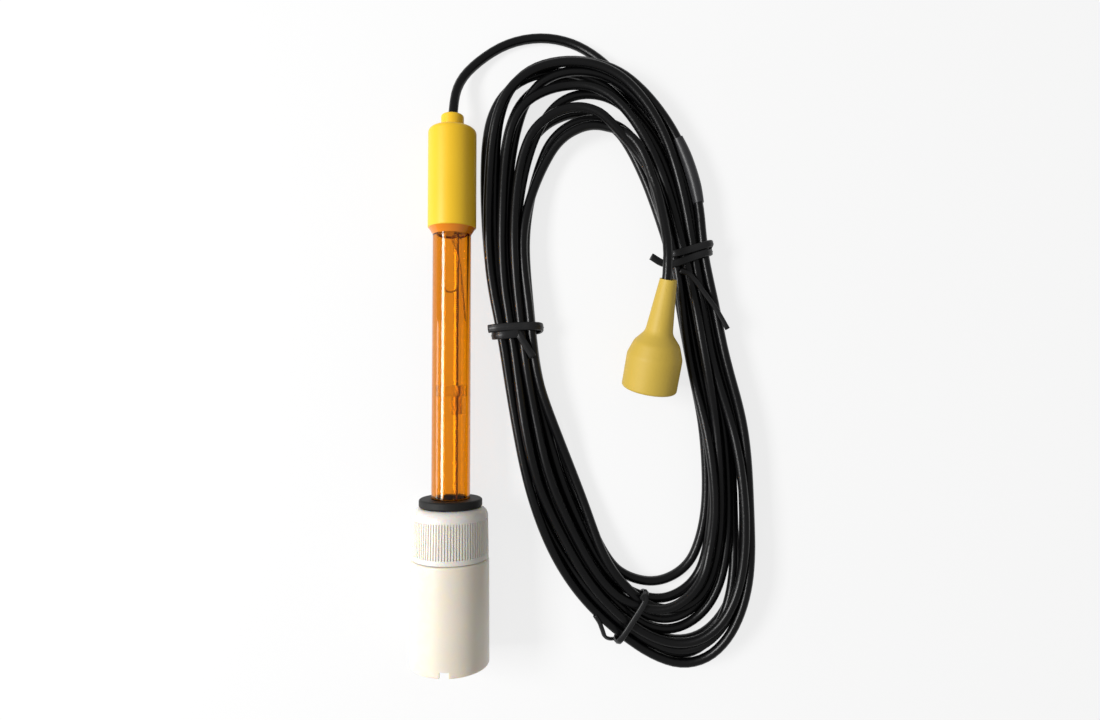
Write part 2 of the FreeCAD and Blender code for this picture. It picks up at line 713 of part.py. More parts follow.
def build_coupling_ring():
    """Coupling ring with two channels for the socket's studs, each running into a cam slot."""
    bore = d.ring_bore / 2
    outside = d.ring_dia / 2
    chamber = d.ring_chamber_dia / 2
    lip = d.waist_dia / 2 + d.turning_gap / 2
    ring = turned("coupling_ring", [
        (bore, d.ring_recess), (outside, d.ring_recess), (outside, ring_end), (lip, ring_end),
        (lip, chamber_top), (chamber, chamber_top), (chamber, chamber_foot), (bore, chamber_foot)], plug)
    slot_foot = d.ring_recess + d.slot_start
    slot_top = slot_foot + d.slot_width
    channel = new_sketch(ring, "stud_channel", "XY_Plane")
    draw_slot(channel, d.slot_width, 0, d.slot_dia / 2)
    channel_cut = cut(ring, channel, "stud_channel_cut", slot_top, backwards=True)
    section = new_sketch(ring, "cam_slot", "YZ_Plane")
    near = bore - d.turning_gap
    far = outside + d.turning_gap
    draw_outline(section, [(near, slot_foot), (far, slot_foot), (far, slot_top), (near, slot_top)])
    cam = ring.newObject("PartDesign::SubtractiveHelix", "cam_slot_cut")
    cam.Profile = section
    cam.ReferenceAxis = (section, ["V_Axis"])
    cam.Mode = "pitch-height-angle"
    bind(cam, "Pitch", d.slot_rise / d.slot_turn * 360)
    bind(cam, "Height", d.slot_rise)
    document.recompute()
    repeat_round(ring, "stud_slots", [channel_cut, cam], d.stud_count, 360)


def build_boot():
    """Soft boot: a cup over the coupling ring, a rounded shoulder and a tapered neck for the cable."""
    rear_space = d.rear_dia / 2 + d.glue_gap
    ferrule_space = d.crimp_neck_dia / 2 + d.ferrule_wall + d.glue_gap * 2
    shoulder = d.boot_shoulder_dia / 2
    cone = d.boot_cone_dia / 2
    boot = turned("plug_boot", [
        (ring_space, 0), (cup_radius, 0), (cup_radius, d.boot_cup_length), (shoulder, d.boot_shoulder_height),
        (cone, d.boot_cone_height), (d.boot_neck_dia / 2, d.boot_length), (d.boot_bore / 2, d.boot_length),
        (d.boot_bore / 2, crimp_end), (ferrule_space, crimp_end), (ferrule_space, rear_back),
        (rear_space, rear_back), (rear_space, rear_front), (ring_space, rear_front)], plug)
    rounds = [(cup_radius, d.boot_cup_length), (shoulder, d.boot_shoulder_height), (cone, d.boot_cone_height)]
    round_rims(boot, "boot_shoulders", rounds, d.boot_round)
    round_rims(boot, "boot_mouth", [(cup_radius, 0)], d.boot_rim)


def build_tie(name, clear):
    """A flat tie closed round the coil, as a band with rounded corners."""
    (across, along), turn = TIES[name]
    place = Placement(Vector(across, along, 0), Rotation(Vector(0, 0, 1), turn))
    body = new_body(name, place)
    sketch = new_sketch(body, f"{name}_outline", "XZ_Plane")
    draw_slot(sketch, clear + d.tie_thick * 2, 0, d.coil_height + d.tie_thick)
    draw_slot(sketch, clear, d.tie_thick, d.coil_height)
    band = body.newObject("PartDesign::Pad", f"{name}_band")
    band.Profile = sketch
    band.SideType = "Symmetric"
    bind(band, "Length", d.tie_width)
    document.recompute()
    for part, half, size in (("outside", clear / 2 + d.tie_thick, d.tie_corner),
                             ("inside", clear / 2, d.tie_corner - d.tie_thick)):
        base = body.Tip
        names = []
        for number, edge in enumerate(base.Shape.Edges, start=1):
            middle = edge.CenterOfMass
            across_band = abs(edge.tangentAt(edge.FirstParameter).y) > 0.99
            if across_band and abs(abs(middle.x) - float(half)) < 1e-4:
                names.append(f"Edge{number}")
        fillet = body.newObject("PartDesign::Fillet", f"{name}_{part}_corners")
        fillet.Base = (base, names)
        bind(fillet, "Radius", size)
        document.recompute()
    return body


def build_shrink_sleeve():
    """Sleeve shrunk on one turn of the cable, on top of the coil."""
    start = Vector(*SHRINK_START, float(d.coil_height - d.shrink_dia / 2))
    run = Vector(*SHRINK_END, start.z) - start
    sleeve = document.addObject("Part::Cylinder", "cable_sleeve")
    sleeve.Label = "cable_sleeve"
    bind(sleeve, "Radius", d.shrink_dia / 2)
    bind(sleeve, "Height", d.shrink_length)
    sleeve.Placement = Placement(start, Rotation(Vector(0, 0, 1), run))
    nodes.append(sleeve)
    document.recompute()
    return sleeve


def build_cable(on_coil):
    """Coil as one rounded ring, cut by what is on it, and the cable's two free stretches up to it."""
    outer, inner = [Part.Face(rounded_path([Vector(x, y, 0) for x, y in points], closed=True))
                    for points in (COIL_OUTER, COIL_INNER)]
    ring = outer.cut(inner).extrude(Vector(0, 0, float(d.coil_height)))
    flat = [edge for edge in ring.Edges if abs(edge.BoundBox.ZMax - edge.BoundBox.ZMin) < 1e-4]
    ring = ring.makeFillet(float(d.coil_edge), flat)
    coil = ring.cut([item.Shape for item in on_coil])
    add_shape("cable_coil", coil)

    start = float(potting_top)
    lead = [electrode.multVec(Vector(0, 0, height)) for height in (start, start + SIZES["lead_first_run"])]
    lead += [Vector(*point) for point in LEAD_ROUTE]
    start = float(crimp_end)
    tail = [plug.multVec(Vector(0, 0, start)), plug.multVec(Vector(0, 0, start + SIZES["tail_first_run"]))]
    tail += [Vector(*point) for point in TAIL_ROUTE]
    for name, route in (("cable_lead", lead), ("cable_tail", tail)):
        bar = round_bar(rounded_path(route, report=name), d.cable_dia)
        print(name, "points:", [tuple(round(value, 2) for value in point) for point in route])
        add_shape(name, bar.cut(ring))


def check_nodes():
    """Stop on any failed object or unsound shape."""
    document.recompute()
    for item in document.Objects:
        if {"Invalid", "Error"} & set(item.State):
            raise RuntimeError(f"{item.Name} failed: {item.State}")
    for node in nodes:
        if node.Shape.isNull() or not node.Shape.isValid():
            raise RuntimeError(f"{node.Label} has no valid shape")


build_tube()
build_tube_fillings()
build_stem()
build_reference_wire()
build_head()
build_storage()
build_plug_body()
build_coupling_ring()
build_boot()
wraps = [build_tie(name, getattr(d, f"{name}_clear")) for name in TIES]
build_cable(wraps + [build_shrink_sleeve()])
check_nodes()
os.makedirs("parts", exist_ok=True)
for node in nodes:
    node.Shape.exportStep(f"parts/{node.Label}.step")
    print(f"{node.Label}: {len(node.Shape.Solids)} solid, {node.Shape.Volume:.1f} mm3")
print(f"lying tilt {math.degrees(lying_tilt):.5f} degrees, axis rise {axis_rise:.3f}, at {electrode.Base}")
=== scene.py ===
"""Looks of a redox electrode that lies flat, with its cable coiled and tied beside it.

Everything is in metres in the part's own frame: +Z up, the electrode along Y with its head at +Y.
"""

import json
import logging
import math
import random
from collections.abc import Sequence
from dataclasses import dataclass, field
from enum import Enum
from typing import ClassVar

import bpy
from mathutils import Matrix, Vector


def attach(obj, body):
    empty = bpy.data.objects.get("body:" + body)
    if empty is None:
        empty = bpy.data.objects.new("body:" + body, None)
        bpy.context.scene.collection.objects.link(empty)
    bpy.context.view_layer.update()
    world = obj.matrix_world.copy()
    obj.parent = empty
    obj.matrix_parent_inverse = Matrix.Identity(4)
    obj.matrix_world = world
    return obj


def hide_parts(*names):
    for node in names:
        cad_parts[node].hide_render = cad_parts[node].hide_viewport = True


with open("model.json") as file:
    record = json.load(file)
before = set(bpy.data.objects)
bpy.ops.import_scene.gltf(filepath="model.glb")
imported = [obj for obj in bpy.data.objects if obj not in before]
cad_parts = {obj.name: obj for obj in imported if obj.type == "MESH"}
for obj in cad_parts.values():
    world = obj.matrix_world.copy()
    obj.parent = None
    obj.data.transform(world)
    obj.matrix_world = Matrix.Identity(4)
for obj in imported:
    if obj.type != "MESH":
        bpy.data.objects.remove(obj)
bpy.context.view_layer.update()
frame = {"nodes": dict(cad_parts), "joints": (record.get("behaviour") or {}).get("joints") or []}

log = logging.getLogger("electrode")

MM = 0.001
# The body that the cable rides on, with all that is tied to it.
CARRIER = "electrode"
Colour = tuple[float, float, float, float]
Point2 = tuple[float, float]
Point3 = tuple[float, float, float]


def srgb(red: int, green: int, blue: int) -> Colour:
    """Turn a screen colour into the linear colour that a shader reads.

    Args:
        red: red from 0 to 255.
        green: green from 0 to 255.
        blue: blue from 0 to 255.

    Returns:
        The linear colour with full alpha.
    """
    linear = []
    for level in (red / 255, green / 255, blue / 255):
        linear.append(level / 12.92 if level <= 0.04045 else ((level + 0.055) / 1.055) ** 2.4)
    return (*linear, 1.0)


def smooth_step(value: float) -> float:
    """Ease from 0 to 1 as the value goes from 0 to 1."""
    value = min(max(value, 0.0), 1.0)
    return value * value * (3 - 2 * value)


def bump_at(value: float, middle: float, reach: float) -> float:
    """Rise to 1 at the middle and fall to nothing within the reach on each side."""
    return smooth_step(1 - abs(value - middle) / reach)


def fetch(name: str) -> bpy.types.Object:
    """Give the object of a carried-over node."""
    return frame["nodes"][name]


class Slot(Enum):
    """The record's material slots that new pieces take their finish from."""

    CABLE = "cable_black"
    TIE = "tie_black"
    SHRINK = "shrink_black"


def add_piece(name: str, data: bpy.types.Mesh | bpy.types.Curve,
              stands_for: Sequence[str]) -> bpy.types.Object:
    """Put a new piece in the scene, in place of carried-over ones.

    Args:
        name: the piece's name.
        data: its mesh or curve.
        stands_for: the carried-over nodes that it replaces.

    Returns:
        The new object.
    """
    piece = bpy.data.objects.new(name, data)
    bpy.context.scene.collection.objects.link(piece)
    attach(piece, CARRIER)
    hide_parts(*stands_for)
    log.info("%s on %s", name, CARRIER)
    return piece


def curve_point(near: Sequence[Vector], part: float) -> Vector:
    """Give a point on the smooth line through four points, between the second and the third.

    Args:
        near: the four points, of any dimension.
        part: how far the point is from the second one to the third, from 0 to 1.

    Returns:
        The point.
    """
    before, start, end, after = near
    return 0.5 * (2 * start + (end - before) * part
                  + (2 * before - 5 * start + 4 * end - after) * part ** 2
                  + (3 * start - 3 * end + after - before) * part ** 3)


def through(points: Sequence[Vector], steps: int) -> list[Vector]:
    """Lay a smooth line through points of any dimension.

    Args:
        points: the points.
        steps: how many pieces each run between two points gets.

    Returns:
        Points along the line, ends included.
    """
    ends = [2 * points[0] - points[1], *points, 2 * points[-1] - points[-2]]
    line = []
    for index in range(1, len(ends) - 2):
        near = ends[index - 1:index + 3]
        line.extend(curve_point(near, step / steps) for step in range(steps))
    return [*line, points[-1].copy()]


def round_tube(name: str, points: Sequence[Vector], radius: float, taper: float = 1.0,
               corner_cuts: int = 5, run_steps: int = 4) -> bpy.types.Curve:
    """Make a round tube along one smooth spline, with its radius in the points.

    The curve's own box counts the points' radius, so it comes out right that way.

    Args:
        name: the curve's name.
        points: the spline's control points.
        radius: the tube's radius.
        taper: how wide its ends are, as a share of the radius.
        corner_cuts: how finely its section is rounded.
        run_steps: how many pieces each run between two points gets.

    Returns:
        The curve.
    """
    data = bpy.data.curves.new(name, "CURVE")
    data.dimensions = "3D"
    data.bevel_depth = 1.0
    data.bevel_resolution = corner_cuts
    data.resolution_u = run_steps
    data.use_fill_caps = True
    spline = data.splines.new("NURBS")
    spline.points.add(len(points) - 1)
    for point, place in zip(spline.points, points):
        point.co = (*place, 1.0)
        point.radius = radius
    spline.points[0].radius = radius * taper
    spline.points[-1].radius = radius * taper
    spline.order_u = 3
    spline.use_endpoint_u = True
    return data


# Materials


class Shader:
    """A new material's node tree with its Principled shader, and short ways to add nodes."""

    def __init__(self, name: str) -> None:
        """Start the material.

        Args:
            name: the material's name.
        """
        self.material = bpy.data.materials.new(name)
        self.material.use_nodes = True
        self.tree = self.material.node_tree
        self.tree.nodes.clear()
        self.output = self.tree.nodes.new("ShaderNodeOutputMaterial")
        self.principled = self.tree.nodes.new("ShaderNodeBsdfPrincipled")
        self.link(self.principled.outputs["BSDF"], self.output.inputs["Surface"])

    def link(self, source: bpy.types.NodeSocket, target: bpy.types.NodeSocket) -> None:
        """Join two sockets."""
        self.tree.links.new(source, target)

    def node(self, kind: str, **values: object) -> bpy.types.Node:
        """Add a node and set its properties.

        Args:
            kind: the node's type name.
            **values: its properties.

        Returns:
            The node.
        """
        node = self.tree.nodes.new(kind)
        for name, value in values.items():
            setattr(node, name, value)
        return node

    def group(self, tree: bpy.types.NodeTree, **values: float | Colour) -> bpy.types.Node:
        """Place a shader group and fill in its inputs.

        Args:
            tree: the group.
            **values: input values by socket name, with underscores for spaces.

        Returns:
            The group's node.
        """
        node = self.node("ShaderNodeGroup", node_tree=tree)
        for name, value in values.items():
            node.inputs[name.replace("_", " ")].default_value = value
        return node


class Groups:
    """The shader groups that several materials share.

    Attributes:
        grain_layers: how many ever finer layers the grain has.
        grain_height: how high the grain stands at full depth.
        patches: how many patches of other roughness there are in a metre.
        tone_layers: how many ever finer layers the drift of colour has.
    """

    grain_layers: ClassVar[float] = 3.0
    grain_height: ClassVar[float] = 0.2 * MM
    patches: ClassVar[float] = 90.0
    tone_layers: ClassVar[float] = 2.0

    def __init__(self) -> None:
        """Build each group once."""
        self.grain = self.make_grain()
        self.tone = self.make_tone()

    @staticmethod
    def start(name: str, inputs: Sequence[tuple[str, str, object]], outputs: Sequence[tuple[str, str]]
              ) -> tuple[bpy.types.NodeTree, bpy.types.Node, bpy.types.Node]:
        """Make an empty group with its sockets.

        Args:
            name: the group's name.
            inputs: name, socket type and default of each input.
            outputs: name and socket type of each output.

        Returns:
            The tree, its input node and its output node.
        """
        tree = bpy.data.node_groups.new(name, "ShaderNodeTree")
        for label, kind, default in inputs:
            socket = tree.interface.new_socket(label, in_out="INPUT", socket_type=kind)
            socket.default_value = default
        for label, kind in outputs:
            tree.interface.new_socket(label, in_out="OUTPUT", socket_type=kind)
        return tree, tree.nodes.new("NodeGroupInput"), tree.nodes.new("NodeGroupOutput")

    def make_grain(self) -> bpy.types.NodeTree:
        """Build the fine moulded grain: a bumped normal and a roughness that wanders a little.

        Returns:
            The group.
        """
        tree, source, target = self.start(
            "moulded_grain",
            [("Size", "NodeSocketFloat", 900.0), ("Depth", "NodeSocketFloat", 0.1),
             ("Roughness", "NodeSocketFloat", 0.4), ("Spread", "NodeSocketFloat", 0.06)],
            [("Roughness", "NodeSocketFloat"), ("Normal", "NodeSocketVector")])
        place = tree.nodes.new("ShaderNodeTexCoord")
        fine = tree.nodes.new("ShaderNodeTexNoise")
        fine.inputs["Detail"].default_value = self.grain_layers
        broad = tree.nodes.new("ShaderNodeTexNoise")
        broad.inputs["Scale"].default_value = self.patches
        bump = tree.nodes.new("ShaderNodeBump")
        bump.inputs["Distance"].default_value = self.grain_height
        centred = tree.nodes.new("ShaderNodeMath")
        centred.operation = "SUBTRACT"
        centred.inputs[1].default_value = 0.5
        scaled = tree.nodes.new("ShaderNodeMath")
        scaled.operation = "MULTIPLY_ADD"
        links = tree.links
        links.new(place.outputs["Object"], fine.inputs["Vector"])
        links.new(place.outputs["Object"], broad.inputs["Vector"])
        links.new(source.outputs["Size"], fine.inputs["Scale"])
        links.new(source.outputs["Depth"], bump.inputs["Strength"])
        links.new(fine.outputs["Fac"], bump.inputs["Height"])
        links.new(broad.outputs["Fac"], centred.inputs[0])
        links.new(centred.outputs[0], scaled.inputs[0])
        links.new(source.outputs["Spread"], scaled.inputs[1])
        links.new(source.outputs["Roughness"], scaled.inputs[2])
        links.new(scaled.outputs[0], target.inputs["Roughness"])
        links.new(bump.outputs["Normal"], target.inputs["Normal"])
        return tree

    def make_tone(self) -> bpy.types.NodeTree:
        """Build the slow drift between two close colours.

        Returns:
            The group.
        """
        tree, source, target = self.start(
            "slow_tone",
            [("Colour A", "NodeSocketColor", (0.5, 0.5, 0.5, 1)),
             ("Colour B", "NodeSocketColor", (0.6, 0.6, 0.6, 1)),
             ("Size", "NodeSocketFloat", 60.0)],
            [("Colour", "NodeSocketColor")])
        place = tree.nodes.new("ShaderNodeTexCoord")
        noise = tree.nodes.new("ShaderNodeTexNoise")
        noise.inputs["Detail"].default_value = self.tone_layers
        mix = tree.nodes.new("ShaderNodeMix")
        mix.data_type = "RGBA"
        links = tree.links
        links.new(place.outputs["Object"], noise.inputs["Vector"])
        links.new(source.outputs["Size"], noise.inputs["Scale"])
        links.new(noise.outputs["Fac"], mix.inputs["Factor"])
        # A mix node's colour sockets share their names with its number ones, so they go by place.
        links.new(source.outputs["Colour A"], mix.inputs[6])
        links.new(source.outputs["Colour B"], mix.inputs[7])
        links.new(mix.outputs[2], target.inputs["Colour"])
        return tree


@dataclass(frozen=True)
class Finish:
    """A moulded, drawn or plated finish.

    Attributes:
        name: the material's name.
        colour: its main colour.
        drift: the close colour that it drifts to.
        roughness: its middle roughness.
        spread: how far the roughness wanders.
        grain: how many grains there are in a metre.
        depth: how strong the grain is.
        metallic: 1 for metal.
        coat: how much clear gloss lies over it.
        soft: how far light wanders below the surface, in metres.
        clear: how much light passes through.
        index: refractive index.
        shine: how strong the plain reflection is, 0.5 as usual.
        coat_roughness: how dull the clear gloss is, the same on every finish.
        soft_colour: how far red, green and blue wander below the surface, as shares of soft.
    """

    name: str
    colour: Colour
    drift: Colour
    roughness: float
    spread: float = 0.06
    grain: float = 900.0
    depth: float = 0.1
    metallic: float = 0.0
    coat: float = 0.0
    soft: float = 0.0
    clear: float = 0.0
    index: float = 1.5
    shine: float = 0.5
    coat_roughness: ClassVar[float] = 0.08
    soft_colour: ClassVar[Point3] = (1.0, 0.7, 0.4)

    def make(self, groups: Groups) -> bpy.types.Material:
        """Build the material.

        Args:
            groups: the shared shader groups.

        Returns:
            The material.
        """
        shader = Shader(self.name)
        tone = shader.group(groups.tone, Colour_A=self.colour, Colour_B=self.drift)
        grain = shader.group(groups.grain, Size=self.grain, Depth=self.depth, Roughness=self.roughness,
                             Spread=self.spread)
        inputs = shader.principled.inputs
        shader.link(tone.outputs["Colour"], inputs["Base Color"])
        shader.link(grain.outputs["Roughness"], inputs["Roughness"])
        shader.link(grain.outputs["Normal"], inputs["Normal"])
        inputs["Metallic"].default_value = self.metallic
        inputs["Coat Weight"].default_value = self.coat
        inputs["Coat Roughness"].default_value = self.coat_roughness
        inputs["IOR"].default_value = self.index
        inputs["Specular IOR Level"].default_value = self.shine
        inputs["Transmission Weight"].default_value = self.clear
        if self.soft:
            inputs["Subsurface Weight"].default_value = 1.0
            inputs["Subsurface Radius"].default_value = self.soft_colour
            inputs["Subsurface Scale"].default_value = self.soft
        return shader.material


class Finishes:
    """Every finish of the object, made once."""

    def __init__(self) -> None:
        """Make all materials."""
        groups = Groups()
        table = [
            Finish("yellow_plastic", srgb(246, 199, 44), srgb(242, 192, 36), 0.4, coat=0.06, shine=0.35),
            Finish("yellow_rubber", srgb(206, 176, 76), srgb(199, 168, 66), 0.52, depth=0.25, shine=0.35),
            Finish("amber_plastic", srgb(230, 138, 6), srgb(226, 132, 4), 0.04, spread=0.02, depth=0.02,
                   clear=1.0, index=1.42, shine=0.24),
            Finish("amber_bore", srgb(254, 252, 246), srgb(252, 249, 240), 0.04, spread=0.02, depth=0.02,
                   clear=1.0, index=1.42, shine=0.24),
            Finish("clear_glass", srgb(250, 246, 236), srgb(244, 240, 230), 0.03, spread=0.01, depth=0.02,
                   clear=1.0, index=1.47),
            # Painted light and shade: an opaque, darker copy of the tube's amber for the flare under the head
            # cap, standing in for the light seen through the flare and for its shade.
            Finish("amber_shoulder_painted_light_and_shade", srgb(228, 132, 12), srgb(222, 124, 8), 0.16, spread=0.02, depth=0.02,
                   coat=0.4),
            Finish("bung_rubber", srgb(252, 238, 206), srgb(248, 232, 196), 0.5),
            Finish("collar_plastic", srgb(253, 244, 224), srgb(250, 240, 218), 0.25, clear=0.94, index=1.33),
            Finish("resin", srgb(206, 150, 84), srgb(196, 140, 76), 0.25),
            Finish("clear_sleeve", srgb(250, 238, 214), srgb(247, 232, 204), 0.1, clear=0.95, index=1.38),
            Finish("potting", srgb(196, 146, 88), srgb(186, 136, 78), 0.45),
            Finish("platinum", srgb(224, 224, 222), srgb(214, 214, 212), 0.18, metallic=1.0),
            Finish("lead_copper", srgb(176, 112, 68), srgb(150, 92, 54), 0.4, metallic=0.3),
            Finish("silver", srgb(214, 186, 148), srgb(188, 160, 122), 0.4, metallic=0.3),
            Finish("frit", srgb(240, 238, 232), srgb(230, 228, 220), 0.8, depth=0.4),
            Finish("white_plastic", srgb(240, 232, 218), srgb(235, 226, 210), 0.36, coat=0.1, soft=0.0008),
            Finish("cap_white", srgb(236, 232, 225), srgb(231, 227, 219), 0.4, coat=0.08, soft=0.0006),
            Finish("liner", srgb(226, 226, 222), srgb(218, 218, 214), 0.7),
            Finish("washer_rubber", srgb(27, 27, 26), srgb(22, 22, 21), 0.6, depth=0.35, grain=1600.0,
                   shine=0.3),
            Finish("cable_jacket", srgb(7, 7, 8), srgb(11, 11, 12), 0.3, depth=0.18, grain=1400.0,
                   shine=0.28),
            Finish("tie_plastic", srgb(22, 22, 23), srgb(28, 28, 29), 0.38, depth=0.2, shine=0.35),
            Finish("shrink_sleeve", srgb(40, 40, 42), srgb(46, 46, 48), 0.4, depth=0.25, shine=0.4),
            Finish("nickel", srgb(206, 203, 196), srgb(196, 193, 186), 0.22, metallic=1.0),
            Finish("contact_gold", srgb(226, 188, 110), srgb(216, 178, 100), 0.22, metallic=1.0),
            Finish("insulator_white", srgb(238, 236, 230), srgb(230, 228, 222), 0.5, soft=0.0008),
            Finish("red_rubber", srgb(158, 52, 40), srgb(146, 44, 34), 0.6),
        ]
        self.materials = {finish.name: finish.make(groups) for finish in table}

    def dress(self, piece: bpy.types.Object, name: str) -> bpy.types.Object:
        """Give a piece one finish all over.

        Args:
            piece: the object.
            name: the finish's name.

        Returns:
            The same object.
        """
        piece.data.materials.clear()
        piece.data.materials.append(self.materials[name])
        return piece


# Cable


@dataclass(frozen=True)
class Gap:
    """A place where the coil's strands part.

    Attributes:
        station: where along the turn it is widest.
        reach: how many stations it takes to close on each side.
        after: the lane, from outside, that it opens after.
        width: how wide it is.
    """

    station: float
    reach: float
    after: float
    width: float


@dataclass(frozen=True)
class Sway:
    """A slow sway to and fro of the upper turns.

    Attributes:
        first: the first turn that has it.
        size: how far it goes to each side.
        length: how many stations one sway takes.
        start: the station where it is in the middle.
    """

    first: int
    size: float
    length: float
    start: float


@dataclass(frozen=True)
class LaneMove:
    """A place where a turn changes lane.

    Attributes:
        middle: its middle, in stations counted over all turns.
        reach: how many stations it takes on each side.
        lane: the lane it leads to.
    """

    middle: float
    reach: float
    lane: float


@dataclass
class Cable:
    """The black cable: a lead from the head, a tied coil of eleven turns and a tail to the plug.

    A station is one step round the coil, from the top right down its right side and up its left side. A lane
    is a strand's place across the coil, from 0 at the outer edge to the last lane at the inner one.

    Attributes:
        finishes: the finishes.
        diameter: the cable's diameter.
        length: its stated length; not used.
        turns: how many turns the coil has.
        points_per_turn: how many control points each turn gets.
        fine_steps: how many laid points lie from one control point to the next.
        wander: how far a strand may drift inside its lane.
        drift_beats: how often the drift changes in one turn.
        sways: the slow sways of the upper turns.
        lead: control points from the head to the coil.
        tail: control points from the coil to the plug.
        stations: the coil's outer and inner edge on the table at each station.
        right_rows: the turns in each row on the coil's right side, from the table up and from outside in.
        left_rows: the same on its left side.
        row_lanes: the lanes of each row.
        last_lane: the innermost lane.
        foot_station: where the turns change lane at the coil's foot.
        foot_spread: how much sooner or later a turn may do so.
        foot_reach: how many stations that takes on each side.
        top_station: where the turns change lane at the coil's top.
        top_spread: how much sooner or later a turn may do so.
        top_reach: how many stations that takes on each side.
        tie_stations: where the coil is tied.
        tie_hold: how many stations from a tie the sway comes back.
        tie_lift: how far the lowest strands are off the table at a tie.
        tie_lift_reach: how many stations from a tie they lie flat again.
        gaps: where the strands part.
        bend_per_step: how far a strand bends down from one control point to the next.
        bridge: how many control points away a strand can still hold the cable up.
        tightest_bend: the bend radius that the coil is eased to.
        easing_reach: how many control points on each side of a too tight bend are eased with it.
        easing_rounds: how often it is eased at most.
        lane_seed: seed of the places where turns change lane.
        drift_seed: seed of the drift.
        laid: each turn's laid points, once the coil is built.
    """

    finishes: Finishes
    diameter: float = 3.0 * MM
    length: float = 4.6
    turns: int = 11
    points_per_turn: int = 54
    fine_steps: int = 4
    wander: float = 0.8 * MM
    drift_beats: int = 8
    sways: tuple[Sway, ...] = (
        Sway(4, 0.9 * MM, 9.0, 2.0), Sway(7, 1.3 * MM, 7.5, 0.0), Sway(10, 1.2 * MM, 8.5, 4.0))
    lead: tuple[Point3, ...] = (
        (0.0, 0.07955, 0.0076), (0.0, 0.08804, 0.00732), (0.0014, 0.0976, 0.0042), (0.0074, 0.1052, 0.002),
        (0.017, 0.1114, 0.0016), (0.028, 0.1134, 0.0016), (0.0382, 0.1114, 0.0018), (0.0466, 0.1058, 0.0032),
        (0.0536, 0.0984, 0.0042))
    tail: tuple[Point3, ...] = (
        (0.063, 0.0696, 0.0064), (0.0663, 0.0533, 0.0114), (0.06739, 0.03667, 0.01773),
        (0.06503, 0.01985, 0.0135))
    stations: tuple[tuple[Point2, Point2], ...] = (
        ((0.061, 0.0965), (0.053, 0.081)), ((0.0735, 0.081), (0.0595, 0.069)),
        ((0.0798, 0.062), (0.0636, 0.058)), ((0.081, 0.0428), (0.0691, 0.0402)),
        ((0.0846, 0.027), (0.0719, 0.0245)), ((0.088, 0.008), (0.0754, 0.0055)),
        ((0.094, -0.014), (0.0792, -0.014)), ((0.096, -0.04), (0.0806, -0.038)),
        ((0.095, -0.064), (0.0785, -0.052)), ((0.0875, -0.083), (0.075, -0.062)),
        ((0.0755, -0.0915), (0.069, -0.0688)), ((0.062, -0.087), (0.0615, -0.069)),
        ((0.0487, -0.0771), (0.0595, -0.0663)), ((0.038, -0.066), (0.0505, -0.0565)),
        ((0.029, -0.051), (0.044, -0.042)), ((0.0225, -0.033), (0.0375, -0.027)),
        ((0.0185, -0.012), (0.032, -0.01)), ((0.0158, 0.005), (0.028, 0.004)),
        ((0.0139, 0.0159), (0.0263, 0.0189)), ((0.0105, 0.032), (0.0248, 0.033)),
        ((0.0089, 0.048), (0.024, 0.048)), ((0.0085, 0.066), (0.0265, 0.063)),
        ((0.0095, 0.086), (0.031, 0.0755)), ((0.0145, 0.099), (0.036, 0.0825)),
        ((0.027, 0.1065), (0.0405, 0.086)), ((0.0485, 0.106), (0.0455, 0.086)))
    right_rows: tuple[tuple[int, ...], ...] = ((0, 1, 2, 3), (6, 5, 4), (7, 8, 9, 10))
    left_rows: tuple[tuple[int, ...], ...] = ((1, 0, 2, 3), (6, 5, 4), (7, 8, 10, 9))
    row_lanes: tuple[tuple[float, ...], ...] = (
        (0.0, 3.33, 6.67, 10.0), (1.67, 5.0, 8.33), (0.2, 3.5, 6.8, 10.0))
    last_lane: float = 10.0
    foot_station: float = 9.6
    foot_spread: Point2 = (-0.9, 0.9)
    foot_reach: float = 2.2
    top_station: float = 24.2
    top_spread: Point2 = (-1.0, 1.2)
    top_reach: float = 3.0
    tie_stations: tuple[float, ...] = (3.0, 12.0, 18.0)
    tie_hold: float = 3.2
    tie_lift: float = 0.9 * MM
    tie_lift_reach: float = 1.2
    gaps: tuple[Gap, ...] = (
        Gap(23.4, 1.6, 4.5, 2.6 * MM), Gap(8.6, 1.3, 8.7, 2.2 * MM))
    bend_per_step: float = 0.6 * MM
    bridge: int = 6
    tightest_bend: float = 13.0 * MM
    easing_reach: int = 2
    easing_rounds: int = 90
    lane_seed: int = 8
    drift_seed: int = 5
    laid: list[list[Vector]] = field(default_factory=list)

    def rail_points(self, place: float) -> tuple[Vector, Vector]:
        """Give the coil's outer and inner edge at one place along the turn.

        Args:
            place: the place in stations, counted round and round.

        Returns:
            The two edge points on the table.
        """
        count = len(self.stations)
        first = math.floor(place)
        part = place - first
        near = [self.stations[(first + step) % count] for step in (-1, 0, 1, 2)]
        outer, inner = ([Vector((*pair[side], 0)) for pair in near] for side in (0, 1))
        return curve_point(outer, part), curve_point(inner, part)

    def even_places(self, count: int, checks: int = 20) -> list[float]:
        """Space places evenly along the middle of a turn.

        Args:
            count: how many places one turn gets.
            checks: how often the run is measured from one station to the next.

        Returns:
            The places in stations, from 0 up to the number of stations.
        """
        run = [0.0]
        last = sum(self.rail_points(0), Vector()) / 2
        for step in range(1, len(self.stations) * checks + 1):
            middle = sum(self.rail_points(step / checks), Vector()) / 2
            run.append(run[-1] + (middle - last).length)
            last = middle
        places = []
        step = 0
        for item in range(count):
            wanted = run[-1] * item / count
            while run[step + 1] < wanted:
                step += 1
            places.append((step + (wanted - run[step]) / (run[step + 1] - run[step])) / checks)
        return places

